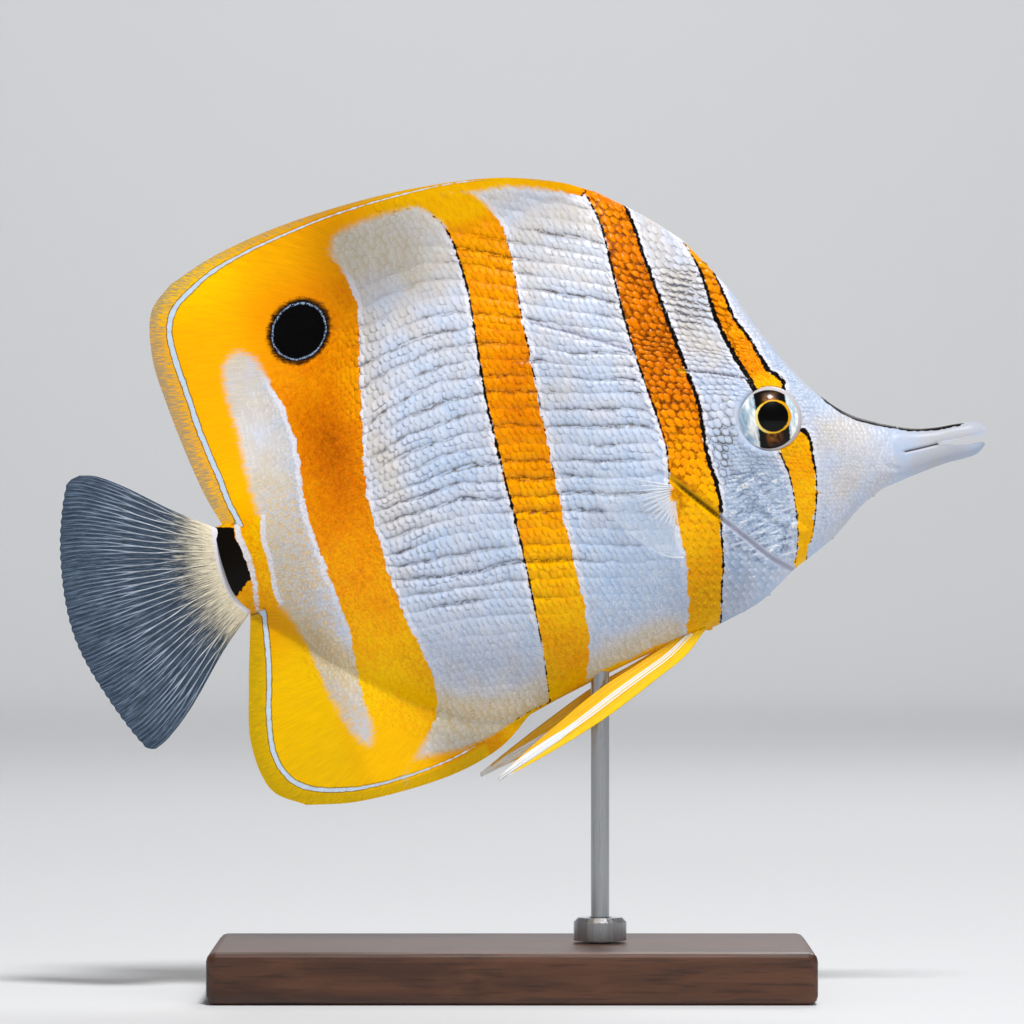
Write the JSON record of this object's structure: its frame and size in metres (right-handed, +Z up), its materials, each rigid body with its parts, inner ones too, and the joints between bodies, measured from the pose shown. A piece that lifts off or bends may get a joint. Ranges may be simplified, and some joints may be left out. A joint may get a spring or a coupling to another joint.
{
  "type": "copperband butterflyfish, still museum model on a display stand",
  "caption": "Life-size copperband butterflyfish held nose up over a flat base by one steel rod.",
  "frame": {"origin": "middle of the stand base's underside", "axes": "+Z up, +X towards the fish's snout, +Y towards its left flank"},
  "size_m": [0.1608, 0.056, 0.1419],
  "materials": {
    "skin": "scaled skin, silvery white with copper-orange bands",
    "fin": "yellow-orange rayed fin",
    "clear_fin": "translucent rayed membrane",
    "eye": "wet glossy eye, black pupil in a gold ring",
    "stand_wood": "dark walnut, satin oil",
    "stand_metal": "brushed stainless steel"
  },
  "bodies": {
    "root": {"upper_jaw": "skin", "lower_jaw": "skin", "head": "skin", "gill_cover_right": "skin", "gill_cover_left": "skin", "eye_right": "eye", "eye_left": "eye", "trunk": "skin", "tail_stem": "skin", "tail_fin": "clear_fin", "dorsal_fin_spiny": "fin", "dorsal_fin_soft": "fin", "anal_fin_spiny": "fin", "anal_fin_soft": "fin", "pelvic_fin_right": "fin", "pelvic_fin_left": "fin", "pectoral_fin_right": "clear_fin", "pectoral_fin_left": "clear_fin", "stand_base": "stand_wood", "stand_collar": "stand_metal", "stand_rod": "stand_metal"}
  },
  "joints": []
}
